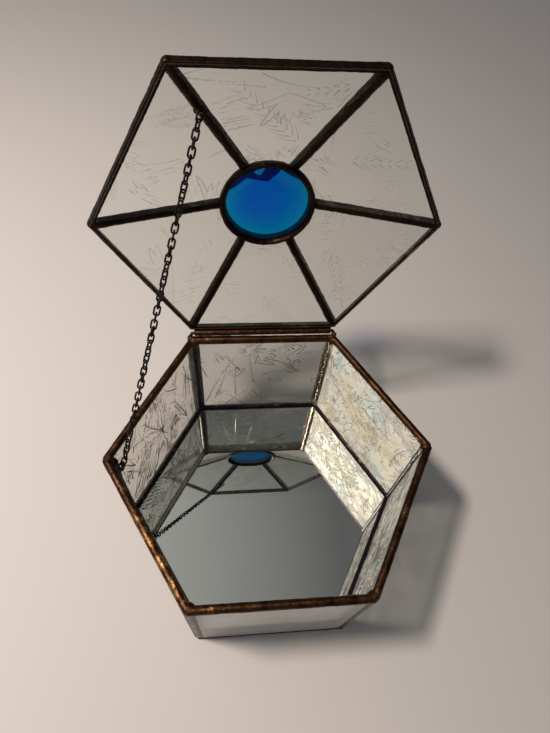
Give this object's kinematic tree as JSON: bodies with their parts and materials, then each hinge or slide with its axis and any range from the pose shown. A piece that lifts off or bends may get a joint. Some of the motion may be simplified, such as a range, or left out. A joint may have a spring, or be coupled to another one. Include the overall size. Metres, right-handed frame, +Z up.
{
  "type": "hexagonal glass keepsake box",
  "caption": "Hexagonal keepsake box of foiled and soldered glass panels with a hinged lid, a round jewel in the lid and a chain that stops it open.",
  "frame": {"origin": "on the table under the middle of the box", "axes": "+Z up, the front faces -Y and the hinge runs along X at the back"},
  "size_m": [0.1486, 0.1581, 0.2082],
  "materials": {
    "clear_glass": "clear glass with a frosted fern pattern",
    "mirror_glass": "silvered glass",
    "jewel_glass": "faceted deep blue glass",
    "copper_foil": "darkened copper foil",
    "solder": "solder with a dark copper patina",
    "hinge_wire": "tinned wire with a dark patina",
    "hinge_tube": "thin tube with a dark patina",
    "chain": "dark bright-worn wire"
  },
  "bodies": {
    "root": {"wall_glass_front": "clear_glass", "wall_glass_front_right": "clear_glass", "wall_glass_back_right": "clear_glass", "wall_glass_back": "clear_glass", "wall_glass_back_left": "clear_glass", "wall_glass_front_left": "clear_glass", "wall_foils": "copper_foil", "floor_mirror": "mirror_glass", "floor_foil": "copper_foil", "corner_seam_right": "solder", "corner_seam_back_right": "solder", "corner_seam_back_left": "solder", "corner_seam_left": "solder", "corner_seam_front_left": "solder", "corner_seam_front_right": "solder", "rim_bead": "solder", "foot_bead": "solder", "floor_seam": "solder", "hinge_rod": "hinge_wire", "hinge_rod_solder": "solder", "chain_eye_base": "chain"},
    "lid": {"lid_glass_front": "clear_glass", "lid_glass_front_right": "clear_glass", "lid_glass_back_right": "clear_glass", "lid_glass_back": "clear_glass", "lid_glass_back_left": "clear_glass", "lid_glass_front_left": "clear_glass", "lid_foils": "copper_foil", "lid_seam_right": "solder", "lid_seam_back_right": "solder", "lid_seam_back_left": "solder", "lid_seam_left": "solder", "lid_seam_front_left": "solder", "lid_seam_front_right": "solder", "lid_rim_bead": "solder", "jewel": "jewel_glass", "jewel_foil": "copper_foil", "jewel_ring": "solder", "hinge_tube": "hinge_tube", "chain_eye_lid": "chain"},
    "chain_base_1": {"chain_base_1": "chain"},
    "chain_base_2": {"chain_base_2": "chain"},
    "chain_base_3": {"chain_base_3": "chain"},
    "chain_base_4": {"chain_base_4": "chain"},
    "chain_base_5": {"chain_base_5": "chain"},
    "chain_base_6": {"chain_base_6": "chain"},
    "chain_base_7": {"chain_base_7": "chain"},
    "chain_base_8": {"chain_base_8": "chain"},
    "chain_lid_1": {"chain_lid_1": "chain"},
    "chain_lid_2": {"chain_lid_2": "chain"},
    "chain_lid_3": {"chain_lid_3": "chain"},
    "chain_lid_4": {"chain_lid_4": "chain"},
    "chain_lid_5": {"chain_lid_5": "chain"},
    "chain_lid_6": {"chain_lid_6": "chain"},
    "chain_lid_7": {"chain_lid_7": "chain"}
  },
  "joints": [
    {"name": "lid_hinge", "type": "hinge", "parent": "root", "child": "lid", "pos_m": [0, 0.06554, 0.07837], "axis": [1, 0, 0], "range_deg": [0, 94.5]},
    {"name": "chain_base_1_turn", "type": "hinge", "parent": "root", "child": "chain_base_1", "pos_m": [-0.06681, 0, 0.0657], "axis": [0.9217, 0.3618, -0.1399], "range_deg": [0, 194.81]},
    {"name": "chain_base_2_turn", "type": "hinge", "parent": "chain_base_1", "child": "chain_base_2", "pos_m": [-0.06363, 0.00608, 0.07528], "axis": [-0.4654, -0.2565, -0.8471], "range_deg": [0, 32.32]},
    {"name": "chain_base_3_turn", "type": "hinge", "parent": "chain_base_2", "child": "chain_base_3", "pos_m": [-0.05954, 0.01392, 0.08762], "axis": [-0.1497, -0.9885, 0.0229], "range_deg": [0, 32.68]},
    {"name": "chain_base_4_turn", "type": "hinge", "parent": "chain_base_3", "child": "chain_base_4", "pos_m": [-0.05545, 0.02175, 0.09995], "axis": [0.1199, -0.9916, 0.0481], "range_deg": [0, 33.69]},
    {"name": "chain_base_5_turn", "type": "hinge", "parent": "chain_base_4", "child": "chain_base_5", "pos_m": [-0.05382, 0.02488, 0.10489], "axis": [-0.1273, -0.989, -0.0757], "range_deg": [0, 34.24]},
    {"name": "chain_base_6_turn", "type": "hinge", "parent": "chain_base_5", "child": "chain_base_6", "pos_m": [-0.05218, 0.02801, 0.10982], "axis": [-0.3375, -0.9404, -0.0425], "range_deg": [0, 34.31]},
    {"name": "chain_base_7_turn", "type": "hinge", "parent": "chain_base_6", "child": "chain_base_7", "pos_m": [-0.05054, 0.03114, 0.11476], "axis": [-0.5146, -0.855, 0.0645], "range_deg": [0, 33.65]},
    {"name": "chain_base_8_turn", "type": "hinge", "parent": "chain_base_7", "child": "chain_base_8", "pos_m": [-0.04891, 0.03428, 0.11969], "axis": [-0.6766, -0.5914, 0.4386], "range_deg": [0, 32.53]},
    {"name": "chain_lid_1_turn", "type": "hinge", "parent": "lid", "child": "chain_lid_1", "pos_m": [-0.0261, 0.07795, 0.18848], "axis": [-0.5208, 0.8536, -0.0142], "range_deg": [0, 98.46]},
    {"name": "chain_lid_2_turn", "type": "hinge", "parent": "chain_lid_1", "child": "chain_lid_2", "pos_m": [-0.02927, 0.07187, 0.1789], "axis": [-0.3825, -0.0201, 0.9237], "range_deg": [0, 43.39]},
    {"name": "chain_lid_3_turn", "type": "hinge", "parent": "chain_lid_2", "child": "chain_lid_3", "pos_m": [-0.03336, 0.06404, 0.16656], "axis": [-0.4259, 0.0169, 0.9046], "range_deg": [0, 38.36]},
    {"name": "chain_lid_4_turn", "type": "hinge", "parent": "chain_lid_3", "child": "chain_lid_4", "pos_m": [-0.03746, 0.0562, 0.15423], "axis": [-0.4686, 0.1076, 0.8768], "range_deg": [0, 34.71]},
    {"name": "chain_lid_5_turn", "type": "hinge", "parent": "chain_lid_4", "child": "chain_lid_5", "pos_m": [-0.04154, 0.04837, 0.14189], "axis": [-0.4952, 0.4468, 0.745], "range_deg": [0, 33.06]},
    {"name": "chain_lid_6_turn", "type": "hinge", "parent": "chain_lid_5", "child": "chain_lid_6", "pos_m": [-0.04318, 0.04524, 0.13696], "axis": [-0.5793, 0.1407, 0.8029], "range_deg": [0, 32.58]},
    {"name": "chain_lid_7_turn", "type": "hinge", "parent": "chain_lid_6", "child": "chain_lid_7", "pos_m": [-0.04482, 0.04211, 0.13203], "axis": [-0.3804, -0.831, 0.406], "range_deg": [0, 32.15]}
  ],
  "couplings": [
    {"joint": "chain_base_1_turn", "follows": "lid_hinge", "ratio": 2.0609},
    {"joint": "chain_base_2_turn", "follows": "lid_hinge", "ratio": 0.34147},
    {"joint": "chain_base_3_turn", "follows": "lid_hinge", "ratio": 0.34534},
    {"joint": "chain_base_4_turn", "follows": "lid_hinge", "ratio": 0.35601},
    {"joint": "chain_base_5_turn", "follows": "lid_hinge", "ratio": 0.36179},
    {"joint": "chain_base_6_turn", "follows": "lid_hinge", "ratio": 0.3625},
    {"joint": "chain_base_7_turn", "follows": "lid_hinge", "ratio": 0.35551},
    {"joint": "chain_base_8_turn", "follows": "lid_hinge", "ratio": 0.34369},
    {"joint": "chain_lid_1_turn", "follows": "lid_hinge", "ratio": 1.0413},
    {"joint": "chain_lid_2_turn", "follows": "lid_hinge", "ratio": 0.45866},
    {"joint": "chain_lid_3_turn", "follows": "lid_hinge", "ratio": 0.40543},
    {"joint": "chain_lid_4_turn", "follows": "lid_hinge", "ratio": 0.36676},
    {"joint": "chain_lid_5_turn", "follows": "lid_hinge", "ratio": 0.34936},
    {"joint": "chain_lid_6_turn", "follows": "lid_hinge", "ratio": 0.34426},
    {"joint": "chain_lid_7_turn", "follows": "lid_hinge", "ratio": 0.33971}
  ]
}
